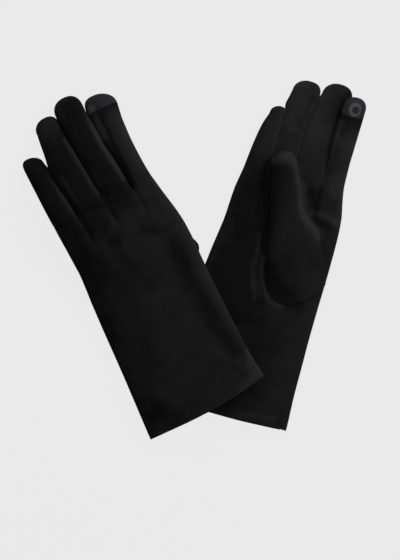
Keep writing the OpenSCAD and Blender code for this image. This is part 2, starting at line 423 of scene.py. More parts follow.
@dataclass
class GloveCut:
    """One glove's pattern, in millimetres, back up, hem near y = 0 and index finger on +x."""

    side: Side
    little_edge: tuple[tuple[float, float], ...]
    index_edge: tuple[tuple[float, float], ...]
    hem: tuple[tuple[float, float], ...]
    fingers: list[FingerCut]
    thumb: ThumbCut = field(default_factory=ThumbCut)
    folds: list[Fold] = field(default_factory=list)
    ripples: list[Ripples] = field(default_factory=list)
    # A base level of painted light and shade, and the patches painted lighter and darker on it
    nap: float = 0.5
    strokes: list[PaintedShading] = field(default_factory=list)

    def tone(self, x: Array, y: Array) -> Array:
        """The painted light and shade at each place, 0 to 1."""
        total = sum((k.tone(x, y) for k in self.strokes), np.full_like(x, self.nap))
        return np.clip(total, 0, 1)

    def edge(self, y: Array, index_side: bool) -> Array:
        """The hand's half width at y, on one side."""
        return flowing(y, self.index_edge if index_side else self.little_edge)

    def hem_y(self, share: Array) -> Array:
        """Where the hem lies, at each share of the half width."""
        return flowing(share, self.hem)

    def half_t(self, y: Array) -> Array:
        """The hand's half thickness at y."""
        return flowing(y, HAND_HALF_T)

    def crotch(self, slot: int) -> tuple[float, float]:
        """The bottom of the slot between finger number slot and the next one."""
        low, high = self.fingers[slot], self.fingers[slot + 1]
        y = min(low.root_y, high.root_y)
        left = flowing(np.array(y), low.index_edge)
        right = flowing(np.array(y), high.little_edge)
        return float(left + right) / 2, float(y)

    def normal_x(self, x: Array, y: Array) -> Array:
        """A place across the hand as a share of the half width there."""
        return np.where(x > 0, x / self.edge(y, True), x / self.edge(y, False))

    def corner(self, f: int, index_side: bool, inset: float) -> tuple[float, float]:
        """Where a finger's back panel meets its side at the root."""
        cut = self.fingers[f]
        sign = 1 if index_side else -1
        if outermost(f, index_side):
            share = (1 - HAND_SEAM**HAND_POWER) ** (1 / HAND_POWER)
            x = (float(self.edge(np.array(cut.root_y), index_side)) - inset) * share
            return sign * x, cut.root_y
        x, y = self.crotch(f if index_side else f - 1)
        return x - sign * inset, y

    def root_offset(self, f: int, index_side: bool) -> float:
        """How far along the finger, from its root, a side's stitching starts."""
        cut = self.fingers[f]
        return self.corner(f, index_side, 0)[1] - cut.root_y


class Shelf:
    """The heights that a glove lies at, in millimetres above the surface.

    A glove that lies on the other one is held up by it and by its own folded thumb, and sags
    towards the surface past both.
    """

    floor_gap = 0.15
    top = 10.0
    sag = 7.2
    under_half_w = 47.5
    thumb_half_w = 17.0
    slope_w = 24.0

    def __init__(self, cut: GloveCut, place: "Place", under: Optional["Place"]) -> None:
        """Keep the glove's pattern, its place and the place of the glove that it lies on."""
        self.cut, self.place, self.under = cut, place, under

    def base(self, x: Array, y: Array) -> Array:
        """The height of the glove's lower face at each place."""
        if self.under is None:
            return np.full_like(x, self.floor_gap)
        wx, wy = self.place.carry(x, y)
        ux, uy = self.under.fetch(wx, wy)
        off = np.hypot(np.maximum(0, -self.under_half_w - ux), np.maximum(0, -uy))
        on_glove = 1 - smooth(off / self.slope_w)
        thumb = self.cut.thumb
        tip = thumb.plan(np.array(0.0), np.array(thumb.span))
        away, _ = segment_distance(x, y, (thumb.root_x, thumb.root_y), (float(tip[0]), float(tip[1])))
        on_thumb = 1 - smooth((away - self.thumb_half_w) / self.slope_w)
        # Only the little finger's side of the cuff is free to sag
        free = smooth((-x - 4) / 38) * (1 - smooth((y - 110) / 62))
        return self.top - self.sag * free * (1 - np.maximum(on_glove, on_thumb))


class Place:
    """Carries one glove's plan into the shared frame, found from the glove's own joints."""

    def __init__(self, side: Side, splay: float, pivot: tuple[float, float]) -> None:
        """Find the glove's turn from its finger hinges and its hem from its thumb hinge."""
        self.side = side
        self.joints = {j["name"]: j for j in frame["joints"]}
        axis = self.joints[f"{side.value}_middle_middle_joint"]["axis"]
        sign = -1 if side is Side.LEFT else 1
        self.turn = math.atan2(sign * axis[1], sign * axis[0]) - math.radians(splay)
        thumb = self.joints[f"{side.value}_thumb_fold"]["pos_m"]
        c, s = math.cos(self.turn), math.sin(self.turn)
        self.x = thumb[0] / MM - (c * pivot[0] - s * pivot[1])
        self.y = thumb[1] / MM - (s * pivot[0] + c * pivot[1])

    def carry(self, x: Array, y: Array) -> tuple[Array, Array]:
        """Turn the glove's plan into the shared plan, in millimetres."""
        c, s = math.cos(self.turn), math.sin(self.turn)
        return self.x + c * x - s * y, self.y + s * x + c * y

    def fetch(self, x: Array, y: Array) -> tuple[Array, Array]:
        """Turn the shared plan into the glove's own, in millimetres."""
        c, s = math.cos(self.turn), math.sin(self.turn)
        return c * (x - self.x) + s * (y - self.y), -s * (x - self.x) + c * (y - self.y)

    def joint(self, name: str) -> tuple[float, float]:
        """A joint's place in the glove's own plan."""
        pos = self.joints[f"{self.side.value}_{name}"]["pos_m"]
        return self.fetch(pos[0] / MM, pos[1] / MM)


@dataclass
class Cloth:
    """Cloth that is being cut: matching grids of an outer and an inner skin, in millimetres."""

    outer: list[Array] = field(default_factory=list)
    inner: list[Array] = field(default_factory=list)

    def add(self, outer: Array, inner: Array) -> None:
        """Add one grid of points, rows by columns by 3, and its inner twin."""
        self.outer.append(outer)
        self.inner.append(inner)

    def spread(self) -> tuple[float, Array]:
        """Measure the cloth spread flat.

        Returns:
            The outer skin's area in square metres and all its points in millimetres.
        """
        area = 0.0
        for grid in self.outer:
            a, b, c, d = grid[:-1, :-1], grid[:-1, 1:], grid[1:, 1:], grid[1:, :-1]
            for one, two in ((b - a, c - a), (c - a, d - a)):
                area += float(np.linalg.norm(np.cross(one, two), axis=-1).sum()) / 2
        return area * MM * MM, np.concatenate([grid.reshape(-1, 3) for grid in self.outer])

    def mesh(self, name: str) -> bpy.types.Mesh:
        """Sew the grids together where they meet and close the rim between the two skins.

        Args:
            name: The mesh's name.

        Returns:
            A closed mesh in metres with faces outwards and crisp rims.
        """
        keys: dict[tuple[int, int, int], int] = {}
        skin: list[Array] = []
        lining: list[Array] = []
        faces: list[tuple[int, ...]] = []
        for outer, inner in zip(self.outer, self.inner):
            rows, cols = outer.shape[:2]
            index = np.zeros((rows, cols), int)
            rounded = np.round(outer / SEW_GAP).astype(int)
            for r in range(rows):
                for c in range(cols):
                    key = tuple(rounded[r, c])
                    if key not in keys:
                        keys[key] = len(skin)
                        skin.append(outer[r, c])
                        lining.append(inner[r, c])
                    index[r, c] = keys[key]
            for r in range(rows - 1):
                for c in range(cols - 1):
                    loop = (index[r, c], index[r, c + 1], index[r + 1, c + 1], index[r + 1, c])
                    corners = tuple(dict.fromkeys(int(i) for i in loop))
                    if len(corners) > 2:
                        faces.append(corners)
        edges: dict[tuple[int, int], tuple[int, int, int]] = {}
        for loop in faces:
            for a, b in zip(loop, loop[1:] + loop[:1]):
                edge = (min(a, b), max(a, b))
                uses = edges.get(edge, (0, a, b))[0]
                edges[edge] = (uses + 1, a, b)
        n = len(skin)
        walls = [(b, a, a + n, b + n) for uses, a, b in edges.values() if uses == 1]
        back = [tuple(i + n for i in reversed(loop)) for loop in faces]
        mesh = bpy.data.meshes.new(name)
        points = np.array(skin + lining) * MM
        mesh.from_pydata(points.tolist(), [], faces + back + walls)
        edit = bmesh.new()
        edit.from_mesh(mesh)
        bmesh.ops.recalc_face_normals(edit, faces=edit.faces)
        edit.to_mesh(mesh)
        edit.free()
        mesh.shade_smooth()
        mesh.set_sharp_from_angle(angle=RIM_ANGLE)
        return mesh


class Glove:
    """One glove: its pattern, the place it lies in, and the pieces sewn for it."""

    hand_rows = 118
    back_cols = 18
    side_cols = 7
    root_rows = 26
    tip_step = 1.15
    # Over this length a finger's root eases from the hand's shape to the finger's own
    root_ease = 13.0
    # Half the stretch over which a hanging finger turns down, and where a lifted one climbs
    hang_turn = 10.0
    climb_from, climb_over = 22.0, 30.0
    # The length of a middle joint's bend and the joint's height, which bend_points reads; no piece is bent
    # with them
    bend_length = 14.0
    bend_z = 10.1
    # The touch fingertip's height, and how far its seam dips on the back and on the palm side
    touch_h, touch_dips = 12.8, (0.7, 3.4)
    # The height of the palm side's skin that each glove's folded thumb touches
    thumb_z = {Side.LEFT: 9.75, Side.RIGHT: 9.15}

    def __init__(self, cut: GloveCut, place: Place, shelf: Shelf, dress: "Wardrobe") -> None:
        """Keep the pattern, the place, the heights and the finishes."""
        self.cut, self.place, self.shelf, self.dress = cut, place, shelf, dress
        self.name = cut.side.value
        self.up = 1.0 if cut.side is Side.LEFT else -1.0
        self.made: list[bpy.types.Object] = []

    def columns(self, face: Face) -> int:
        """How many points a grid of that face has across."""
        return (self.back_cols if face in PANELS else self.side_cols) + 1

    def wear(self, points: Array, half_t: Array, full: Array, drop: Array) -> Array:
        """Lay points of the pattern in the shared frame, with the cloth's folds and ripples.

        Args:
            points: x and y in the glove's plan and z from the middle layer, back up.
            half_t: The outer skin's half thickness at each point.
            full: The half thickness of the point's own layer, for how flat it lies there.
            drop: How far each point hangs below the glove's lower face.

        Returns:
            The points in the shared frame, in millimetres.
        """
        x, y, z = points[..., 0], points[..., 1], self.up * points[..., 2]
        wx, wy = self.place.carry(x, y)
        flat = np.clip(np.abs(z) / np.maximum(full, 0.3), 0, 1)
        height = half_t + z - 0.5 * full * (1 - flat)
        lifts = sum((f.height(x, y) for f in self.cut.folds), np.zeros_like(x))
        lifts = lifts + sum((r.lift(x, y) for r in self.cut.ripples), np.zeros_like(x))
        on_top = smooth(z / np.maximum(full, 0.3))
        height = height + lifts * on_top * smooth(full / 2.5)
        return np.stack([wx, wy, self.shelf.base(x, y) + height - drop], -1)

    def finger_drop(self, cut: FingerCut, s: Array) -> Array:
        """How far a finger hangs, or how far it is lifted when negative, at s from its root."""
        t, turn = s - cut.bend, self.hang_turn
        hang = np.where(t < -turn, 0, np.where(t > turn, t, (t + turn) ** 2 / (4 * turn)))
        return cut.drop * hang - cut.climb * smooth((s - self.climb_from) / self.climb_over)

    def hand_z(self, x: Array, y: Array, inset: float) -> Array:
        """Height of the hand's back above its middle layer."""
        share = np.clip(np.abs(self.cut.normal_x(x, y)), 0, 1)
        return (self.cut.half_t(y) - inset) * (1 - share**HAND_POWER) ** (1 / HAND_POWER)

    def hand_ring(self, f: int, face: Face, inset: float) -> Array:
        """The row of points where one finger's piece grows out of the hand.

        Args:
            f: Finger number, 0 for the little finger.
            face: The stretch of the cross-section.
            inset: How far inside the outer skin the layer lies.

        Returns:
            Points in the glove's plan with z from the middle layer.
        """
        lx, ly = self.cut.corner(f, False, inset)
        rx, ry = self.cut.corner(f, True, inset)
        if face in PANELS:
            t = np.linspace(0, 1, self.columns(face))
            x, y = lx + (rx - lx) * t, ly + (ry - ly) * t
            z = self.hand_z(x, y, inset) * (1 if face is Face.BACK else -1)
            return np.stack([x, y, z], -1)
        index_side = face is Face.INDEX_SIDE
        x0, y0 = (rx, ry) if index_side else (lx, ly)
        if outermost(f, index_side):
            return self.side_points(np.array([y0]), index_side, inset)[0]
        t = np.linspace(1, -1, self.columns(face))
        z = float(self.hand_z(np.array(x0), np.array(y0), inset)) * t
        return np.stack([np.full_like(t, x0), np.full_like(t, y0), z], -1)

    def side_points(self, y: Array, index_side: bool, inset: float) -> Array:
        """Points down the hand's side strip, rows by columns."""
        t = HAND_SEAM * np.linspace(1, -1, self.side_cols + 1)
        half = (self.cut.half_t(y) - inset)[:, None]
        out = (1 - np.abs(t) ** HAND_POWER) ** (1 / HAND_POWER)
        x = (self.cut.edge(y, index_side)[:, None] - inset) * out * (1 if index_side else -1)
        return np.stack([x, np.broadcast_to(y[:, None], x.shape), half * t], -1)

    def root_grid(self, f: int, face: Face, inset: float) -> tuple[Array, Array]:
        """A finger's grid from the hand to its middle joint, easing from the hand's shape.

        Returns:
            The points in the glove's plan, and each point's place along the finger.
        """
        cut = self.cut.fingers[f]
        angle = np.radians(np.linspace(*seam_angles(face, cut.corner, cut.roll), self.columns(face)))
        share = (signed_power(np.cos(angle), 2 / FINGER_POWER) + 1) / 2
        low, high = self.cut.root_offset(f, False), self.cut.root_offset(f, True)
        first = low + (high - low) * share
        t = np.linspace(0, 1, self.root_rows)[:, None]
        station = first + (cut.bend - first) * t
        shape = cut.ring(station, np.broadcast_to(np.degrees(angle), station.shape), inset)
        ease = smooth((station - first) / self.root_ease)[..., None]
        start = self.hand_ring(f, face, inset)
        return shape + (1 - ease) * (start - shape[0]), station

    def hand_grid(self, f: int, face: Face, inset: float, low: float = 0.0) -> Array:
        """A grid on the hand below one finger, from low above the hem up to the finger's root."""
        top = self.hand_ring(f, face, inset)
        t = np.linspace(0, 1, self.hand_rows)[:, None]
        if face in PANELS:
            share = self.cut.normal_x(top[:, 0], top[:, 1])[None, :]
            hem = self.cut.hem_y(share) + low
            y = hem + (top[None, :, 1] - hem) * t
            x = share * np.where(share > 0, self.cut.edge(y, True), self.cut.edge(y, False))
            z = self.hand_z(x, y, inset) * (1 if face is Face.BACK else -1)
            return np.stack([x, y, z], -1)
        index_side = face is Face.INDEX_SIDE
        hem = float(self.cut.hem_y(np.array(1.0 if index_side else -1.0))) + low
        y = hem + (top[0, 1] - hem) * t[:, 0]
        return self.side_points(y, index_side, inset)

    def lay_hand(self, grid: Array, inset: float) -> Array:
        """Lay a hand grid in the shared frame."""
        half = self.cut.half_t(grid[..., 1])
        return self.wear(grid, half, half - inset, np.zeros_like(half))

    def lay_root(self, f: int, grid: Array, station: Array, inset: float) -> Array:
        """Lay a finger root's grid in the shared frame, easing from the hand's thickness."""
        cut = self.cut.fingers[f]
        hand = self.cut.half_t(np.minimum(grid[..., 1], KNUCKLE_Y))
        ease = smooth((station - station[0]) / self.root_ease)
        half = hand + (cut.half_thickness(station) - hand) * ease
        return self.wear(grid, half, half - inset, self.finger_drop(cut, station))

    def lay_tip(self, f: int, grid: Array, station: Array, inset: float) -> Array:
        """Lay the grid of a finger's far end in the shared frame."""
        cut = self.cut.fingers[f]
        s, share = cut.over_tip(station, 0)
        shrink = share**TIP_BLUNTNESS
        half = cut.half_thickness(s)
        # The tip's middle layer comes down as it thins, so that the tip rests on the surface
        centre = half - 0.45 * (half - inset) * (1 - shrink)
        return self.wear(grid, centre, (half - inset) * shrink, self.finger_drop(cut, s))

    def sew_hand(
        self, f: int, face: Face, cloth: Cloth, inset: float, thick: float, low: float = 0.0
    ) -> None:
        """Add the hand's grid below one finger to a piece."""
        outer = self.lay_hand(self.hand_grid(f, face, inset, low), inset)
        inner = self.lay_hand(self.hand_grid(f, face, inset + thick, low), inset + thick)
        cloth.add(outer, inner)

    def sew_root(self, f: int, face: Face, cloth: Cloth, inset: float, thick: float) -> None:
        """Add a finger's root to a piece."""
        outer, station = self.root_grid(f, face, inset)
        inner, deep = self.root_grid(f, face, inset + thick)
        skin = self.lay_root(f, outer, station, inset)
        cloth.add(skin, self.lay_root(f, inner, deep, inset + thick))

    def touch_seam(self, angle: Array) -> Array:
        """Where the touch fingertip starts along the index finger, at each cross-section angle.

        The seam dips in a round arc on the palm side and stays nearer the tip on the back.
        """
        arc = np.sin(np.radians(angle))
        return self.cut.fingers[INDEX].length - self.touch_h + np.where(arc > 0, *self.touch_dips) * arc

    def sew_tip(
        self, f: int, face: Face, cloth: Cloth, inset: float, thick: float, part: TipPart = TipPart.WHOLE
    ) -> None:
        """Add the far end of a finger, or the part of it on one side of the touch seam, to a piece."""
        cut = self.cut.fingers[f]
        cols = self.columns(face)
        angle = np.linspace(*seam_angles(face, cut.corner, cut.roll), cols)
        seam = self.touch_seam(angle)
        start = seam if part is TipPart.CAP else np.full(cols, cut.bend)
        end = seam if part is TipPart.SHELL else np.full(cols, cut.length)
        rows = int(np.ceil((end - start).max() / self.tip_step)) + 1
        station = start + (end - start) * np.linspace(0, 1, rows)[:, None]
        turns = np.broadcast_to(angle, (rows, cols))
        skins = [
            self.lay_tip(f, cut.ring(station, turns, deep), station, deep) for deep in (inset, inset + thick)
        ]
        cloth.add(*skins)

    def make(self, node: str, cloth: Cloth, finish: str, body: str, far: str = "") -> None:
        """Turn cloth into a dressed piece; it rides on its body unless it is part of a finger's far end.

        Args:
            node: The plain solid that it stands for, without the hand.
            cloth: The sewn grids.
            finish: The wardrobe's name for the finish.
            body: The body that it rides on, without the hand; a piece with a far finger rides on none.
            far: A finger's name for a piece of that finger's far end, which is left in the shared frame and
                not bent.
        """
        name = f"{self.name}_{node}_cloth"
        obj = self.dress_piece(cloth.mesh(name), name, finish, body, far)
        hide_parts(f"{self.name}_{node}")
        self.declare(cloth, finish)

    def declare(self, cloth: Cloth, finish: str) -> None:
        """Work out how large the piece's cut is when it is spread flat; nothing is done with the size.

        A panel is as wide as it lies; a strip or a tube is unrolled first. Strips under 10 mm
        wide are the folded edges of their neighbours and have no cut of their own.
        """
        area, points = cloth.spread()
        x, y = self.place.fetch(points[:, 0], points[:, 1])
        length = HEM_H * MM if finish == "hem" else float(np.ptp(y)) * MM
        width = float(np.ptp(x)) * MM if finish == "suede" else area / length
        if width < NARROWEST_CUT * MM:
            return

    def dress_piece(
        self, mesh: bpy.types.Mesh, name: str, finish: str, body: str, far: str = ""
    ) -> bpy.types.Object:
        """Give a mesh its finish and its painted light and shade, and hang it on its body; a piece of a
        finger's far end stays in the shared frame.
        """
        obj = bpy.data.objects.new(name, mesh)
        bpy.context.scene.collection.objects.link(obj)
        mesh.materials.clear()
        mesh.materials.append(self.dress.materials[finish])
        self.stroke_nap(mesh)
        if far:
            cut = next(c for c in self.cut.fingers if c.name == far)
            start, end = self.bend_points(cut)
            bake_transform(obj)
        else:
            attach(obj, f"{self.name}_{body}")
        self.made.append(obj)
        LOG.info("%s: %d faces", name, len(mesh.polygons))
        return obj

    def stroke_nap(self, mesh: bpy.types.Mesh) -> None:
        """Write the painted light and shade at every vertex into the attribute that the finishes read."""
        flat = np.empty(len(mesh.vertices) * 3)
        mesh.vertices.foreach_get("co", flat)
        points = flat.reshape(-1, 3) / MM
        x, y = self.place.fetch(points[:, 0], points[:, 1])
        layer = mesh.attributes.new("nap", "FLOAT", "POINT")
        layer.data.foreach_set("value", self.cut.tone(x, y).astype(np.float32))

    def bend_points(self, cut: FingerCut) -> tuple[Vector, Vector]:
        """Where a finger's bend starts and where it has turned fully."""
        points = []
        for s in (cut.bend - 0.1, cut.bend + self.bend_length):
            x, y = self.place.carry(*cut.plan(np.array(0.0), np.array(s)))
            points.append(Vector((float(x), float(y), self.bend_z)) * MM)
        return points[0], points[1]

    def build_hand(self) -> None:
        """Cut and sew everything from the hem to the middle joints."""
        fingers = range(len(FINGERS))
        for node, finish, face, below in (
            ("back_panel", "suede", Face.BACK, fingers),
            ("palm_panel", "suede", Face.PALM, fingers),
            ("little_side_seam", "strip", Face.LITTLE_SIDE, (LITTLE,)),
            ("index_side_seam", "strip", Face.INDEX_SIDE, (INDEX,)),
        ):
            cloth = Cloth()
            for f in below:
                self.sew_hand(f, face, cloth, 0, SHELL_T)
                self.sew_root(f, face, cloth, 0, SHELL_T)
            self.make(node, cloth, finish, "hand")
        for f in fingers[:-1]:
            cloth = Cloth()
            self.sew_root(f, Face.INDEX_SIDE, cloth, 0, SHELL_T)
            self.sew_root(f + 1, Face.LITTLE_SIDE, cloth, 0, SHELL_T)
            self.make(f"{FINGERS[f + 1]}_{FINGERS[f]}_fourchette", cloth, "strip", "hand")

    def build_inside(self) -> None:
        """Sew the turned-up hem and the lining of the hand."""
        hem, lining = Cloth(), Cloth()
        inset = SHELL_T + LAYER_GAP
        overlap = 1.0
        for f in range(len(FINGERS)):
            for face in FACES:
                if face in PANELS or outermost(f, face is Face.INDEX_SIDE):
                    self.sew_hem(f, face, hem, inset)
                    self.sew_hand(f, face, lining, inset, LINING_T, HEM_H - overlap)
                self.sew_root(f, face, lining, inset, LINING_T)
        self.make("cuff_hem", hem, "hem", "hand")
        self.make("hand_lining", lining, "fleece", "hand")

    def sew_hem(self, f: int, face: Face, cloth: Cloth, inset: float) -> None:
        """Add the part of the turned-up hem below one finger."""
        keep = int(round(HEM_H / (self.cut.fingers[f].root_y / self.hand_rows))) + 1
        skins = [
            self.lay_hand(self.hand_grid(f, face, deep)[:keep], deep) for deep in (inset, inset + HEM_T)
        ]
        cloth.add(*skins)

    def build_fingers(self) -> None:
        """Sew the far end of each finger."""
        for f, cut in enumerate(self.cut.fingers):
            shell = TipPart.SHELL if f == INDEX else TipPart.WHOLE
            inside = SHELL_T + LAYER_GAP
            pieces = [
                ("back", "suede", (Face.BACK,), 0, SHELL_T, shell),
                ("palm", "suede", (Face.PALM,), 0, SHELL_T, shell),
                ("sides", "strip", (Face.LITTLE_SIDE, Face.INDEX_SIDE), 0, SHELL_T, shell),
                ("lining", "fleece", FACES, inside, LINING_T, TipPart.WHOLE),
            ]
            if f == INDEX:
                pieces.append(("touch_tip", "touch", FACES, 0, SHELL_T, TipPart.CAP))
            for node, finish, faces, inset, thick, part in pieces:
                cloth = Cloth()
                for face in faces:
                    self.sew_tip(f, face, cloth, inset, thick, part)
                self.make(f"{cut.name}_{node}", cloth, finish, f"{cut.name}_finger", cut.name)

    def thumb_grid(self, face: Face, inset: float) -> Array:
        """A grid on the thumb: its outer face is the back, its inner face the palm."""
        thumb = self.cut.thumb
        # The thumb is wider than a finger, so its panels have more columns
        cols = self.columns(face) + (6 if face in PANELS else 0)
        angle = np.radians(np.linspace(*seam_angles(face, thumb.corner, thumb.roll), cols))[None, :]
        place, half, depth = (v[:, None] for v in thumb.rows(inset))
        cx = signed_power(np.cos(angle), 2 / TIP_POWER)
        cz = signed_power(np.sin(angle), 2 / TIP_POWER)
        widening = thumb.web(place, cx)
        x, y = thumb.plan(half * cx + widening, place + 0 * cx)
        # The web is only the two skins on top of each other
        thinning = 1 - 0.72 * smooth(widening / 6.0) * smooth((34 - place) / 26)
        z = depth * cz * thinning
        full = thumb.rows(0.0)[2][:, None] * thinning
        # The underside is pressed flat on the palm, and the top has low cross ridges
        height = full + z - 0.75 * (depth * thinning - np.abs(z))
        ridge = 0.3 * np.sin(place / 6.0 + 1.7 * np.sin(place / 17.0) + x / 9.0) * np.clip(cz, 0, 1)
        tuck = 0.35 + 0.35 * smooth((6 - place) / 20)
        return np.stack([x, y, height + ridge * smooth(depth / 3) - tuck], -1)

    def lay_thumb(self, grid: Array) -> Array:
        """Lay a thumb grid in the shared frame, on top of the right palm or under the left one."""
        wx, wy = self.place.carry(grid[..., 0], grid[..., 1])
        z = self.thumb_z[self.cut.side] - self.up * grid[..., 2]
        return np.stack([wx, wy, z], -1)

    def build_thumb(self) -> None:
        """Sew the thumb that lies folded across the palm."""
        for node, finish, faces, inset, thick in (
            ("thumb_outer", "suede", (Face.BACK,), 0.0, SHELL_T),
            ("thumb_inner", "suede", (Face.PALM,), 0.0, SHELL_T),
            ("thumb_sides", "strip", (Face.LITTLE_SIDE, Face.INDEX_SIDE), 0.0, SHELL_T),
            ("thumb_lining", "fleece", FACES, SHELL_T + LAYER_GAP, LINING_T),
        ):
            cloth = Cloth()
            for face in faces:
                cloth.add(*[self.lay_thumb(self.thumb_grid(face, deep)) for deep in (inset, inset + thick)])
            self.make(node, cloth, finish, "thumb")

    def hem_line(self, y: float, lift: float) -> list[Vector]:
        """The closed line round the cuff at y from the hem, lift outside its skin."""
        points: list[Array] = []
        fingers = range(len(FINGERS))
        for face, order in ((Face.BACK, fingers), (Face.PALM, fingers[::-1])):
            for f in order:
                grid = self.hand_grid(f, face, -lift)
                share = y / self.cut.fingers[f].root_y * (self.hand_rows - 1)
                row = int(share)
                line = grid[row] + (grid[row + 1] - grid[row]) * (share - row)
                laid = self.lay_hand(line[None], -lift)[0]
                points.extend(laid if face is Face.BACK else laid[::-1])
            side = Face.INDEX_SIDE if face is Face.BACK else Face.LITTLE_SIDE
            grid = self.hand_grid(order[-1], side, -lift)
            row = int(y / self.cut.fingers[INDEX].root_y * (self.hand_rows - 1))
            laid = self.lay_hand(grid[row][None], -lift)[0]
            points.extend(laid[1:-1] if face is Face.BACK else laid[::-1][1:-1])
        return [Vector(p) * MM for p in points]

    def touch_line(self, below: float, lift: float) -> list[Vector]:
        """The closed line round the index finger just below its touch fingertip."""
        cut = self.cut.fingers[INDEX]
        points: list[Array] = []
        for face in FACES:
            turns = np.linspace(*seam_angles(face, cut.corner, cut.roll), 14)
            if face in (Face.PALM, Face.LITTLE_SIDE):
                turns = turns[::-1]
            angle = turns[None, :-1]
            seam = self.touch_seam(angle) - below
            grid = cut.ring(seam, angle, -lift)
            points.extend(self.lay_tip(INDEX, grid, seam, -lift)[0])
        return [Vector(p) * MM for p in points]

    def build_stitches(self) -> None:
        """Stitch the hem and the touch fingertip's seam."""
        rows = StitchRow(self.dress.materials["thread"])
        name = f"{self.name}_hem_stitches"
        line = self.hem_line(HEM_H - HEM_STITCH.margin, HEM_STITCH.lift)
        hem = self.dress_piece(rows.sew(line, name, HEM_STITCH), name, "thread", "hand")
        name = f"{self.name}_touch_tip_stitches"
        line = self.touch_line(TOUCH_STITCH.margin, TOUCH_STITCH.lift)
        tip = self.dress_piece(rows.sew(line, name, TOUCH_STITCH), name, "thread", "index_finger", "index")
        # Stitches stand for no plain solid
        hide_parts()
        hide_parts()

    def build(self) -> None:
        """Build the whole glove."""
        self.build_hand()
        self.build_inside()
        self.build_fingers()
        self.build_thumb()
        self.build_stitches()


def add_node(
    tree: bpy.types.NodeTree, kind: str, links: Optional[dict] = None, **settings: object
) -> bpy.types.Node:
    """Add a node to a tree.

    Args:
        tree: The node tree.
        kind: The node's type name.
        links: Input name or number to either an output socket or a plain value.
        settings: Attributes to set on the node.

    Returns:
        The new node.
    """
    node = tree.nodes.new(kind)
    for key, value in settings.items():
        setattr(node, key, value)
    for key, value in (links or {}).items():
        if isinstance(value, bpy.types.NodeSocket):
            tree.links.new(value, node.inputs[key])
        else:
            node.inputs[key].default_value = value
    return node


@dataclass(frozen=True)
class Stitch:
    """One kind of stitch, in millimetres: its row runs margin beside the seam, lift outside the cloth."""

    pitch: float
    length: float
    radius: float
    margin: float
    lift: float


HEM_STITCH = Stitch(pitch=2.6, length=1.9, radius=0.2, margin=1.6, lift=0.05)
TOUCH_STITCH = Stitch(pitch=1.7, length=1.15, radius=0.14, margin=1.2, lift=0.03)


class StitchRow:
    """Lays stitches along a closed line with Geometry Nodes."""

    def __init__(self, thread: bpy.types.Material) -> None:
        """Build the tree once for this thread."""
        self.thread = thread
        self.tree = self.build_tree()

    def build_tree(self) -> bpy.types.NodeTree:
        """Build the node tree: a thread bead repeated along the line at an even pitch."""
        tree = bpy.data.node_groups.new("stitch_row", "GeometryNodeTree")
        face = tree.interface
        face.new_socket("Line", in_out="INPUT", socket_type="NodeSocketGeometry")
        for name in ("Pitch", "Stitch length", "Thread radius"):
            face.new_socket(name, in_out="INPUT", socket_type="NodeSocketFloat")
        face.new_socket("Thread", in_out="INPUT", socket_type="NodeSocketMaterial")
        face.new_socket("Stitches", in_out="OUTPUT", socket_type="NodeSocketGeometry")
        start = add_node(tree, "NodeGroupInput")
        curve = add_node(tree, "GeometryNodeMeshToCurve", {"Mesh": start.outputs["Line"]})
        even = add_node(
            tree,
            "GeometryNodeResampleCurve",
            {"Curve": curve.outputs[0], "Length": start.outputs["Pitch"]},
            mode="LENGTH",
        )
        bead = add_node(tree, "GeometryNodeMeshUVSphere", {"Segments": 6, "Rings": 5, "Radius": 1.0})
        tangent = add_node(tree, "GeometryNodeInputTangent")
        aim = add_node(tree, "FunctionNodeAlignRotationToVector", {"Vector": tangent.outputs[0]}, axis="Z")
        half = add_node(
            tree, "ShaderNodeMath", {0: start.outputs["Stitch length"], 1: 0.5}, operation="MULTIPLY"
        )
        size = add_node(
            tree,
            "ShaderNodeCombineXYZ",
            {"X": start.outputs["Thread radius"], "Y": start.outputs["Thread radius"], "Z": half.outputs[0]},
        )
        copies = add_node(
            tree,
            "GeometryNodeInstanceOnPoints",
            {
                "Points": even.outputs[0],
                "Instance": bead.outputs[0],
                "Rotation": aim.outputs[0],
                "Scale": size.outputs[0],
            },
        )
        real = add_node(tree, "GeometryNodeRealizeInstances", {"Geometry": copies.outputs[0]})
        finish = add_node(
            tree,
            "GeometryNodeSetMaterial",
            {"Geometry": real.outputs[0], "Material": start.outputs["Thread"]},
        )
        add_node(tree, "NodeGroupOutput", {0: finish.outputs[0]})
        return tree

    def sew(self, line: list[Vector], name: str, stitch: Stitch) -> bpy.types.Mesh:
        """Lay one closed row of stitches.

        Args:
            line: Points of the seam, in metres.
            name: The mesh's name.
            stitch: The stitch's size and its pitch along the seam.

        Returns:
            A plain mesh of all the stitches.
        """
        mesh = bpy.data.meshes.new(name + "_line")
        count = len(line)
        mesh.from_pydata([tuple(p) for p in line], [(i, (i + 1) % count) for i in range(count)], [])
        obj = bpy.data.objects.new(name + "_line", mesh)
        bpy.context.scene.collection.objects.link(obj)
        modifier = obj.modifiers.new("stitches", "NODES")
        modifier.node_group = self.tree
        values = {
            "Pitch": stitch.pitch * MM,
            "Stitch length": stitch.length * MM,
            "Thread radius": stitch.radius * MM,
            "Thread": self.thread,
        }
        for item in self.tree.interface.items_tree:
            if item.name in values and item.in_out == "INPUT":
                modifier[item.identifier] = values[item.name]
        graph = bpy.context.evaluated_depsgraph_get()
        result = bpy.data.meshes.new_from_object(obj.evaluated_get(graph), depsgraph=graph)
        result.name = name
        bpy.data.objects.remove(obj)
        result.shade_smooth()
        return result


# A wave texture of scale 1 repeats after this many metres
WAVE_PERIOD = 0.314


def linear(code: str) -> tuple[float, float, float, float]:
    """Turn an sRGB hex colour into the linear colour that shaders take."""
    values = [int(code[i : i + 2], 16) / 255 for i in (1, 3, 5)]
    flat = [v / 12.92 if v <= 0.04045 else ((v + 0.055) / 1.055) ** 2.4 for v in values]
    return flat[0], flat[1], flat[2], 1.0


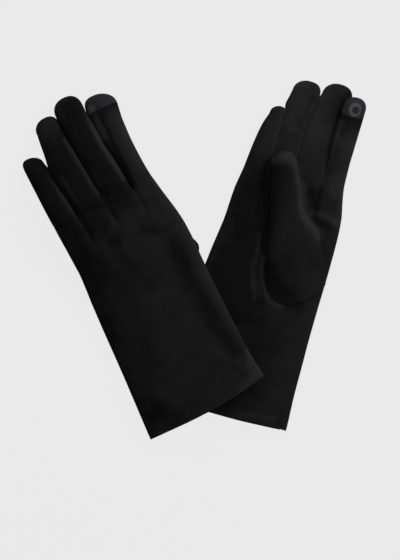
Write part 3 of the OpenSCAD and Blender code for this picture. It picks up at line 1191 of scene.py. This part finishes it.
@dataclass(frozen=True)
class Suede:
    """Microsuede: polyester jersey whose face was raised and sheared to a short, matt nap."""

    name: str
    dark: str = "#080808"
    light: str = "#1b1b1b"
    nap_mm: float = 0.75
    brush_mm: float = 13.0
    roughness: float = 0.92
    specular: float = 0.02
    bump: float = 0.45

    def build(self) -> bpy.types.Material:
        """Build the material: a soft nap in random patches, with painted light and shade from the vertex
        attribute.
        """
        mat, tree, shader = blank(self.name)
        coords = add_node(tree, "ShaderNodeTexCoord").outputs["Object"]
        # Stroked patches, some 16 mm across, lie a shade lighter or darker
        patch = add_node(
            tree, "ShaderNodeTexNoise", {"Vector": coords, "Scale": 1 / (self.brush_mm * MM), "Detail": 3.0}
        )
        # The nap's tufts are about 0.2 mm; drawn at 0.75 mm so that they show
        nap = add_node(
            tree, "ShaderNodeTexNoise", {"Vector": coords, "Scale": 1 / (self.nap_mm * MM), "Detail": 2.0}
        )
        both = add_node(
            tree, "ShaderNodeMath", {0: patch.outputs["Fac"], 1: nap.outputs["Fac"]}, operation="ADD"
        )
        # The vertex attribute read here holds painted light and shade: patches painted lighter where light
        # falls and darker where shade lies, mixed into the colour
        lie = add_node(tree, "ShaderNodeAttribute", attribute_name="nap")
        mixed = add_node(
            tree,
            "ShaderNodeMath",
            {0: both.outputs[0], 1: 0.38, 2: lie.outputs["Fac"]},
            operation="MULTIPLY_ADD",
        )
        shade = add_node(
            tree, "ShaderNodeMapRange", {"Value": mixed.outputs[0], "From Min": 0.3, "From Max": 1.45}
        )
        colour = add_node(
            tree,
            "ShaderNodeMix",
            {"Factor": shade.outputs[0], 6: linear(self.dark), 7: linear(self.light)},
            data_type="RGBA",
        )
        bump = add_node(
            tree,
            "ShaderNodeBump",
            {"Height": nap.outputs["Fac"], "Strength": self.bump, "Distance": 0.00035},
        )
        tree.links.new(colour.outputs[2], shader.inputs["Base Color"])
        tree.links.new(bump.outputs[0], shader.inputs["Normal"])
        shader.inputs["Roughness"].default_value = self.roughness
        shader.inputs["Specular IOR Level"].default_value = self.specular
        return mat


@dataclass(frozen=True)
class Knit:
    """Fine knit: loops of yarn in wales and courses, drawn as a small diamond relief."""

    name: str
    dark: str
    light: str
    loop_mm: float
    roughness: float
    specular: float
    sheen: float

    def build(self) -> bpy.types.Material:
        """Build the material from two crossed bands of loops."""
        mat, tree, shader = blank(self.name)
        coords = add_node(tree, "ShaderNodeTexCoord").outputs["Object"]
        loops = []
        for turn in (0.6, 2.2):
            lie = add_node(tree, "ShaderNodeMapping", {"Vector": coords, "Rotation": (0.0, 0.0, turn)})
            wave = add_node(
                tree,
                "ShaderNodeTexWave",
                {"Vector": lie.outputs[0], "Scale": WAVE_PERIOD / (self.loop_mm * MM), "Distortion": 0.6},
            )
            loops.append(wave.outputs["Fac"])
        relief = add_node(tree, "ShaderNodeMath", {0: loops[0], 1: loops[1]}, operation="MULTIPLY")
        fuzz = add_node(tree, "ShaderNodeTexNoise", {"Vector": coords, "Scale": 420.0, "Detail": 3.0})
        # The vertex attribute read here holds painted light and shade, mixed into the knit's colour as well
        lie = add_node(tree, "ShaderNodeAttribute", attribute_name="nap")
        spread = add_node(
            tree, "ShaderNodeMath", {0: relief.outputs[0], 1: fuzz.outputs["Fac"]}, operation="MULTIPLY"
        )
        blend = add_node(
            tree,
            "ShaderNodeMath",
            {0: spread.outputs[0], 1: 0.5, 2: lie.outputs["Fac"]},
            operation="MULTIPLY_ADD",
        )
        colour = add_node(
            tree,
            "ShaderNodeMix",
            {"Factor": blend.outputs[0], 6: linear(self.dark), 7: linear(self.light)},
            data_type="RGBA",
        )
        bump = add_node(
            tree, "ShaderNodeBump", {"Height": relief.outputs[0], "Strength": 0.5, "Distance": 0.0002}
        )
        tree.links.new(colour.outputs[2], shader.inputs["Base Color"])
        tree.links.new(bump.outputs[0], shader.inputs["Normal"])
        shader.inputs["Roughness"].default_value = self.roughness
        shader.inputs["Specular IOR Level"].default_value = self.specular
        shader.inputs["Sheen Weight"].default_value = self.sheen
        shader.inputs["Sheen Roughness"].default_value = 0.4
        return mat


@dataclass(frozen=True)
class Thread:
    """Twisted polyester sewing thread, dyed to match."""

    name: str
    colour: str
    twist_mm: float = 0.5

    def build(self) -> bpy.types.Material:
        """Build the material with its fine twist."""
        mat, tree, shader = blank(self.name)
        coords = add_node(tree, "ShaderNodeTexCoord").outputs["Object"]
        twist = add_node(
            tree,
            "ShaderNodeTexWave",
            {"Vector": coords, "Scale": WAVE_PERIOD / (self.twist_mm * MM)},
            bands_direction="DIAGONAL",
        )
        bump = add_node(
            tree, "ShaderNodeBump", {"Height": twist.outputs["Fac"], "Strength": 0.4, "Distance": 0.0001}
        )
        tree.links.new(bump.outputs[0], shader.inputs["Normal"])
        shader.inputs["Base Color"].default_value = linear(self.colour)
        shader.inputs["Roughness"].default_value = 0.8
        shader.inputs["Specular IOR Level"].default_value = 0.08
        return mat


def blank(name: str) -> tuple[bpy.types.Material, bpy.types.NodeTree, bpy.types.Node]:
    """Make a material with only its output and one Principled shader.

    Returns:
        The material, its tree and the shader.
    """
    mat = bpy.data.materials.new(name)
    mat.use_nodes = True
    tree = mat.node_tree
    tree.nodes.clear()
    shader = add_node(tree, "ShaderNodeBsdfPrincipled")
    add_node(tree, "ShaderNodeOutputMaterial", {"Surface": shader.outputs[0]})
    return mat, tree, shader


class Wardrobe:
    """Every finish of the gloves, and the record's slot that each one belongs to."""

    slots = {
        "suede": "shell_suede",
        "strip": "side_suede",
        "hem": "hem_suede",
        "fleece": "lining_fleece",
        "touch": "touch_knit",
        "thread": "hem_suede",
    }

    def __init__(self) -> None:
        """Build the materials."""
        finishes = {
            "suede": Suede("microsuede_black"),
            # The strip finish is the shell suede painted a little lighter, for the light that the side strips
            # catch
            "strip": Suede("microsuede_black_strips", light="#1d1d1d"),
            "hem": Suede("microsuede_black_hem"),
            "fleece": Knit("brushed_fleece_black", "#0e0e0f", "#1e1e20", 1.1, 0.95, 0.15, 0.3),
            "touch": Knit("conductive_knit_charcoal", "#111113", "#3a3a41", 0.9, 0.7, 0.06, 0.0),
            "thread": Thread("polyester_thread_black", "#080808"),
        }
        self.materials = {key: finish.build() for key, finish in finishes.items()}


class Studio:
    """The pale surface, the soft lights and the camera above.

    The camera hangs camera_m above the pair, whose middle is pair_m high, and its view is
    view_h_mm from top to bottom.
    """

    view_h_mm = 436.8
    centre_mm = (4.4, -16.0)
    camera_m = 2.6
    pair_m = 0.01
    sensor_mm = 36.0
    paper_half_m = 9.0

    def build(self) -> None:
        """Set the whole studio up."""
        self.build_floor()
        self.build_lights()
        self.build_camera()
        view = bpy.context.scene.view_settings
        view.view_transform = "Standard"
        view.look = "None"

    def build_floor(self) -> None:
        """Lay a matt paper sweep that glows a little, as one lit from all round does."""
        mat, _, shader = blank("matt_paper_pale_grey")
        shader.inputs["Base Color"].default_value = linear("#202020")
        shader.inputs["Roughness"].default_value = 1.0
        shader.inputs["Specular IOR Level"].default_value = 0.0
        shader.inputs["Emission Color"].default_value = linear("#e9e9e9")
        shader.inputs["Emission Strength"].default_value = 0.985
        mesh = bpy.data.meshes.new("paper_floor")
        r = self.paper_half_m
        mesh.from_pydata([(-r, -r, 0), (r, -r, 0), (r, r, 0), (-r, r, 0)], [], [(0, 1, 2, 3)])
        floor = bpy.data.objects.new("paper_floor", mesh)
        bpy.context.scene.collection.objects.link(floor)
        mesh.materials.append(mat)
        world = bpy.data.worlds.new("studio_air")
        world.use_nodes = True
        air = world.node_tree.nodes["Background"]
        air.inputs["Color"].default_value = (0.94, 0.94, 0.94, 1)
        air.inputs["Strength"].default_value = 0.6
        bpy.context.scene.world = world

    def build_lights(self) -> None:
        """Hang a large key light on the upper right and a weak fill on the left."""
        for name, place, size, watts in (
            ("key_light", (0.75, 0.5, 0.5), 0.4, 10.0),
            ("top_light", (0.05, 0.9, 0.42), 0.5, 6.0),
        ):
            data = bpy.data.lights.new(name, "AREA")
            data.size = size
            data.energy = watts
            light = bpy.data.objects.new(name, data)
            light.location = place
            light.rotation_mode = "QUATERNION"
            light.rotation_quaternion = Vector(place).to_track_quat("Z", "Y")
            bpy.context.scene.collection.objects.link(light)

    def build_camera(self) -> None:
        """Look straight down with a long lens."""
        data = bpy.data.cameras.new("camera")
        camera = bpy.data.objects.new("camera", data)
        bpy.context.scene.collection.objects.link(camera)
        data.sensor_width = self.sensor_mm
        data.lens = self.sensor_mm * self.camera_m / (self.view_h_mm * MM)
        data.clip_end = 60.0
        camera.location = (self.centre_mm[0] * MM, self.centre_mm[1] * MM, self.camera_m + self.pair_m)
        camera.rotation_euler = (0.0, 0.0, 0.0)
        bpy.context.scene.camera = camera


def oval(x: float, y: float, rx: float, ry: float, count: int = 16) -> tuple[tuple[float, float], ...]:
    """Give a closed oval path round x and y."""
    turns = [2 * math.pi * i / count for i in range(count + 1)]
    return tuple((x + rx * math.cos(t), y + ry * math.sin(t)) for t in turns)


# The ring on the palm side of the right glove's touch fingertip: a low ridge, and a painted highlight along
# it
TOUCH_RING = oval(30.4, 256.3, 3.9, 4.3)


def shifted(line: Sequence[tuple[float, float]], by: float) -> tuple[tuple[float, float], ...]:
    """Move a line of stations sideways."""
    return tuple((y, x + by) for y, x in line)


@dataclass(frozen=True)
class Lay:
    """How one glove lies: the lines its edges and finger slots follow, as stations of y and x.

    Each slot has two lines above it, where its fingers part: first the one of the finger on the
    little finger's side, then the one of the finger on the index finger's side.
    """

    little_edge: tuple[tuple[float, float], ...]
    index_edge: tuple[tuple[float, float], ...]
    hem: tuple[tuple[float, float], ...]
    little_out: tuple[tuple[float, float], ...]
    slots: tuple[tuple[tuple[float, float], ...], ...]
    above: tuple[tuple[tuple[float, float], ...], ...]
    index_out: tuple[tuple[float, float], ...]
    tops: tuple[float, ...]
    tip_r: tuple[float, ...]
    skew: tuple[float, ...]
    roll: tuple[float, ...]
    climb: tuple[float, ...]
    press: float


LAYS = {
    Side.LEFT: Lay(
        little_edge=(
            (-2, 51.4), (6, 51.1), (30, 50.1), (54, 49.1), (90, 48.1), (114, 47.2), (126, 46.4),
            (138, 45.9), (150, 46.4), (162, 47.0), (172, 47.6),
        ),
        index_edge=(
            (-2, 50.9), (5, 50.4), (24, 48.0), (67, 46.6), (103, 46.1), (126, 46.4), (138, 46.0),
            (150, 44.6), (162, 42.2), (172, 40.2), (177, 39.3),
        ),
        hem=((-1, -2.0), (-0.5, -2.2), (0.1, -1.4), (0.5, 0.8), (1, 4.8)),
        little_out=((172, -47.6), (186, -48.4), (200, -49.0), (212, -49.4), (228, -50.0)),
        slots=(
            ((172, -26.7), (186, -28.2), (200, -29.9), (212, -31.2), (223, -31.9)),
            ((179, -3.0), (190, -4.4), (200, -5.2), (220, -7.3), (240, -8.7), (256, -9.6)),
            ((177, 21.2), (190, 19.8), (200, 18.8), (210, 17.6), (222, 15.6), (240, 14.2), (252, 13.2)),
        ),
        above=(
            ((228, -33.4),), ((234, -30.7), (246, -29.5), (250, -28.9)),
            (), (), (), (),
        ),
        index_out=(
            (177, 39.3), (186, 37.8), (192, 37.1), (204, 36.4), (216, 36.1), (228, 36.5),
            (234, 36.8), (240, 37.6), (248, 38.7),
        ),
        tops=(237.4, 260.8, 268.6, 260.2),
        tip_r=(8.6, 9.6, 11.2, 12.2),
        skew=(-2.4, 1.2, 0.4, -3.0),
        roll=(20.0, 20.0, 20.0, -20.0),
        climb=(0.0, 0.0, 0.0, 0.0),
        press=0.4,
    ),
    Side.RIGHT: Lay(
        little_edge=(
            (-2, 49.8), (60, 48.5), (100, 47.0), (114, 45.9), (126, 44.8), (138, 43.5), (150, 42.5),
            (162, 42.3), (172, 41.9),
        ),
        index_edge=(
            (-2, 52.4), (6, 52.1), (18, 51.2), (30, 50.4), (54, 49.5), (78, 48.6), (102, 48.2),
            (126, 48.0), (138, 47.7), (150, 47.3), (162, 46.6), (172, 45.4), (177, 44.4),
        ),
        hem=((-1, -3.0), (-0.2, -2.5), (0.2, -2.0), (0.62, -0.6), (1, 1.0)),
        little_out=(
            (172, -41.9), (180, -41.0), (188, -39.8), (204, -38.6), (216, -37.3), (222, -36.4),
            (228, -35.1), (235, -32.8),
        ),
        slots=(
            ((172, -21.9), (200, -21.2), (225, -21.2), (240, -21.9)),
            ((179, 0.3), (190, -0.8), (205, -1.8), (225, -2.2), (240, -1.4), (250, -0.2), (258, 0.9)),
            ((177, 22.4), (190, 22.3), (200, 22.4), (212, 22.2)),
        ),
        above=(
            (), ((246, -22.9), (252, -21.8), (258, -20.8)),
            (), ((262, 2.2),),
            ((230, 24.2), (250, 25.4), (262, 26.0)), ((230, 21.0), (240, 20.4), (258, 20.6)),
        ),
        index_out=(
            (177, 44.4), (180, 43.6), (186, 42.2), (192, 40.9), (198, 40.0), (204, 39.6), (210, 39.2),
            (216, 38.9), (240, 38.7), (256, 38.6),
        ),
        tops=(242.8, 268.2, 272.8, 266.4),
        tip_r=(6.4, 9.8, 11.4, 9.3),
        skew=(2.0, 1.5, 1.0, 0.6),
        roll=(20.0, 20.0, 20.0, -14.0),
        climb=(0.0, 0.0, 0.0, 4.8),
        press=1.6,
    ),
}


FOLDS = {
    Side.LEFT: [
        Fold(((-27, 213), (-25, 200), (-23, 185)), 1.7, 0.55),
        Fold(((-2.6, 209), (-1.8, 192)), 1.6, 0.5),
        Fold(((-27, 181), (-8, 178), (14, 175.5)), 2.0, -0.8),
        Fold(((-24, 176), (-12, 173.5), (-3, 170.5)), 2.2, 0.5),
        Fold(((2, 176), (14, 171), (30, 172)), 2.4, 0.45),
        Fold(((4, 166), (18, 168), (32, 163)), 3.0, -0.6),
        Fold(((-38, 150), (-14, 160), (8, 160)), 5.0, 0.5),
        Fold(((36, 128), (39, 96), (40, 56)), 5.5, 1.0),
        Fold(((28, 124), (30, 92), (32, 56)), 6.5, -0.8),
        Fold(((-8, 132), (4, 112), (8, 90)), 7.0, -0.6),
        Fold(((-36, 100), (-20, 70), (-14, 30)), 9.0, 0.5),
        Fold(((20, 36), (34, 24), (46, 10)), 4.0, 0.7),
        Fold(((21, 252), (21.5, 220), (22, 186)), 1.1, -0.6),
        Fold(((-40, 14), (-24, 20)), 4.0, -0.5),
    ],
    Side.RIGHT: [
        Fold(((-14, 144), (-10.5, 128), (-10.5, 114), (-1, 91)), 1.7, 0.9),
        Fold(((-6, 127), (-1.5, 110), (8, 94), (21, 92)), 1.7, 0.9),
        Fold(((-6, 112), (4, 96)), 2.2, -0.6),
        Fold(((24, 169.5), (34, 170), (46, 165)), 2.8, 1.3),
        Fold(((20, 168), (29, 164), (39, 161.5)), 2.6, -1.0),
        Fold(((9, 196), (15, 183), (24, 168)), 3.6, -1.0),
        Fold(((-30, 223), (-30.5, 198)), 1.6, 0.5),
        Fold(TOUCH_RING, 1.3, 0.35),
        Fold(((-38, 152), (-28, 166), (-20, 176)), 3.0, -0.6),
        Fold(((40, 150), (36, 128), (40, 106)), 4.0, -0.8),
        Fold(((-38, 128), (-26, 122)), 3.5, 0.5),
        Fold(((-20, 84), (10, 80), (42, 94)), 6.0, 0.6),
        Fold(((0, 50), (30, 58), (46, 54)), 7.0, -0.5),
        Fold(((-10, 22), (20, 26), (46, 22)), 5.0, 0.5),
    ],
}


# Painted light and shade for each glove: a base level, then patches painted darker where shade lies (the
# edges turned from the key light, the hollow beside the thumb, the touch fingertips' tops) and lighter where
# light falls (the lit side strips, ridges, fingertips and the ring on the right touch fingertip)
PAINTED_SHADING = {
    Side.LEFT: (
        0.5,
        [
            PaintedShading(((-43, 176), (-42, 140)), 17, -0.45),
            PaintedShading(((-46, 142), (-47, 90)), 12, -0.4),
            PaintedShading(((-48, 92), (-51, 4)), 8, -0.4),
            PaintedShading(((-42, 180), (-44, 236)), 12, -0.5),
            PaintedShading(((-17, 180), (-19, 232)), 14, -0.5),
            PaintedShading(((7, 182), (2, 242)), 14, -0.5),
            PaintedShading(((21, 188), (22, 242)), 2.4, -0.4),
            PaintedShading(((31, 128), (29, 98), (33, 60), (38, 34)), 7, -0.45),
            PaintedShading(((-11, 148), (-7, 127), (0, 106)), 5, -0.3),
            PaintedShading(((-20, 170), (-8, 152)), 7, -0.3),
            PaintedShading(((-28, 181), (-10, 179), (12, 176)), 3, -0.3),
            PaintedShading(((14, 148), (30, 141)), 4, -0.35),
            PaintedShading(((-38, 14), (-34, 18)), 6, -0.35),
            PaintedShading(((38, 178), (43, 150), (45, 120), (44, 90), (46, 34)), 5, 0.15),
            PaintedShading(((-33.5, 222), (-30.5, 190), (-27.5, 172)), 1.7, 0.7),
            PaintedShading(((-11, 238), (-7.5, 210), (-5, 188)), 1.7, 0.8),
            PaintedShading(((12, 250), (14, 215), (18, 190)), 1.7, 0.8),
            PaintedShading(((17.5, 252), (17.5, 226)), 3.0, 0.7),
            PaintedShading(((30, 250), (34, 225), (33, 195)), 5, 0.3),
            PaintedShading(((-26, 212), (-24, 190)), 1.8, 0.35),
            PaintedShading(((-2.4, 208), (-2, 193)), 1.5, 0.35),
            PaintedShading(((45, 10), (47.5, 24)), 4, 0.9),
            PaintedShading(((30, 3), (48, 9)), 3, 0.7),
            PaintedShading(((10, 256), (40, 254)), 12, -0.75),
        ],
    ),
    Side.RIGHT: (
        0.4,
        [
            PaintedShading(((-18, 184), (-22, 160), (-20, 130), (-24, 98)), 16, -0.6),
            PaintedShading(((3, 118), (10, 106), (18, 101), (33, 97)), 6, -0.45),
            PaintedShading(((-2, 88), (-20, 70)), 11, -0.45),
            PaintedShading(((10, 66), (6, 40), (-4, 12)), 14, -0.25),
            PaintedShading(((42, 120), (42, 60), (38, 8)), 8, 0.15),
            PaintedShading(((-21.5, 190), (-21.2, 240)), 1.6, 0.5),
            PaintedShading(((-1, 200), (-2.2, 225), (-1, 250)), 1.6, 0.5),
            PaintedShading(((22.4, 195), (22.3, 215), (23, 245)), 1.8, 0.6),
            PaintedShading(((-14, 232), (-14, 262)), 7, 0.5),
            PaintedShading(((3, 228), (4, 260)), 6, 0.45),
            PaintedShading(((-28, 205), (-26, 238)), 8, 0.2),
            PaintedShading(((15, 232), (16, 268)), 6, 0.15),
            PaintedShading(((34, 190), (33, 240)), 6, 0.55),
            PaintedShading(((5, 210), (14, 230)), 16, 0.25),
            PaintedShading(((30, 248), (30, 264)), 13, -0.62),
            PaintedShading(TOUCH_RING, 1.1, 1.1),
            PaintedShading(((23, 248), (23, 262)), 3, -0.3),
            PaintedShading(((42, 192), (45, 168)), 4, 0.4),
            PaintedShading(((26, 170), (44, 167)), 3, 0.5),
            PaintedShading(((17, 184), (24, 176)), 5, -0.4),
            PaintedShading(((26, 164), (37, 162)), 3, -0.5),
            PaintedShading(((-18, 200), (-9, 206), (0, 200), (9, 184), (15, 168), (32, 154)), 3.2, 0.6),
            PaintedShading(((-13, 143), (-10, 126), (-10.5, 114), (-2, 92)), 1.8, 0.6),
            PaintedShading(((-5, 126), (-1, 109), (9, 93), (20, 93)), 1.8, 0.6),
            PaintedShading(((10, 3), (40, 7)), 3, 0.4),
        ],
    ),
}


class Pair:
    """The two gloves, cut from one pattern and laid as found."""

    root_y = (172.0, 179.0, 181.0, 177.0)
    middle_splay = {Side.LEFT: 3.3, Side.RIGHT: -0.4}
    ripple_seeds = {Side.LEFT: 11, Side.RIGHT: 21}
    # Neighbouring fingers press this far into each other, and the left ones hang this far down
    overlap = 0.12
    hang = 9.4

    def __init__(self) -> None:
        """Work out both places first, because the left glove lies on the right one."""
        pivot = (ThumbCut().root_x, ThumbCut().root_y)
        self.places = {side: Place(side, self.middle_splay[side], pivot) for side in Side}
        self.dress = Wardrobe()

    def finger(self, side: Side, f: int) -> FingerCut:
        """Cut one finger, with its middle joint where the frame has it."""
        name, lay = FINGERS[f], LAYS[side]
        _, joint_y = self.places[side].joint(f"{name}_middle_joint")
        bend = float(joint_y) - self.root_y[f]
        low, high = lay.little_out, lay.index_out
        if f > LITTLE:
            low = shifted(lay.slots[f - 1], -self.overlap) + lay.above[2 * f - 1]
        if f < INDEX:
            high = shifted(lay.slots[f], self.overlap) + lay.above[2 * f]
        length = lay.tops[f] - self.root_y[f]
        press = (lay.press if f > LITTLE else 0.0, lay.press if f < INDEX else 0.0)
        return FingerCut(
            name, self.root_y[f], lay.tops[f], low, high, bend, lay.tip_r[f], lay.skew[f], lay.roll[f], press,
            drop=self.hang / (length - bend) if side is Side.LEFT else 0.0, climb=lay.climb[f],
        )

    def pattern(self, side: Side) -> GloveCut:
        """Cut one glove with the folds it was laid down with."""
        lay = LAYS[side]
        fingers = [self.finger(side, f) for f in range(len(FINGERS))]
        cut = GloveCut(side, lay.little_edge, lay.index_edge, lay.hem, fingers)
        grooves = [
            Fold(((x, y + 14), (x + 0.5, y - 4), (x + 1.2, y - 22)), 2.2, -1.2)
            for x, y in (cut.crotch(k) for k in range(len(FINGERS) - 1))
        ]
        cut.folds = grooves + FOLDS[side]
        # The glove's painted light and shade
        cut.nap, cut.strokes = PAINTED_SHADING[side]
        seed = self.ripple_seeds[side]
        cut.ripples = [Ripples(seed, 14, 26, 70, 0.34), Ripples(seed + 1, 18, 7, 16, 0.10)]
        return cut

    def build(self) -> None:
        """Build the under glove, then the one on top of it."""
        for side, under in ((Side.RIGHT, None), (Side.LEFT, self.places[Side.RIGHT])):
            cut = self.pattern(side)
            place = self.places[side]
            glove = Glove(cut, place, Shelf(cut, place, under), self.dress)
            glove.build()
            LOG.info("%s glove: %d pieces", side.value, len(glove.made))


def main() -> None:
    """Build the studio and the pair."""
    logging.basicConfig(level=logging.INFO, format="%(name)s: %(message)s")
    Studio().build()
    Pair().build()


if __name__ == "__main__":
    main()
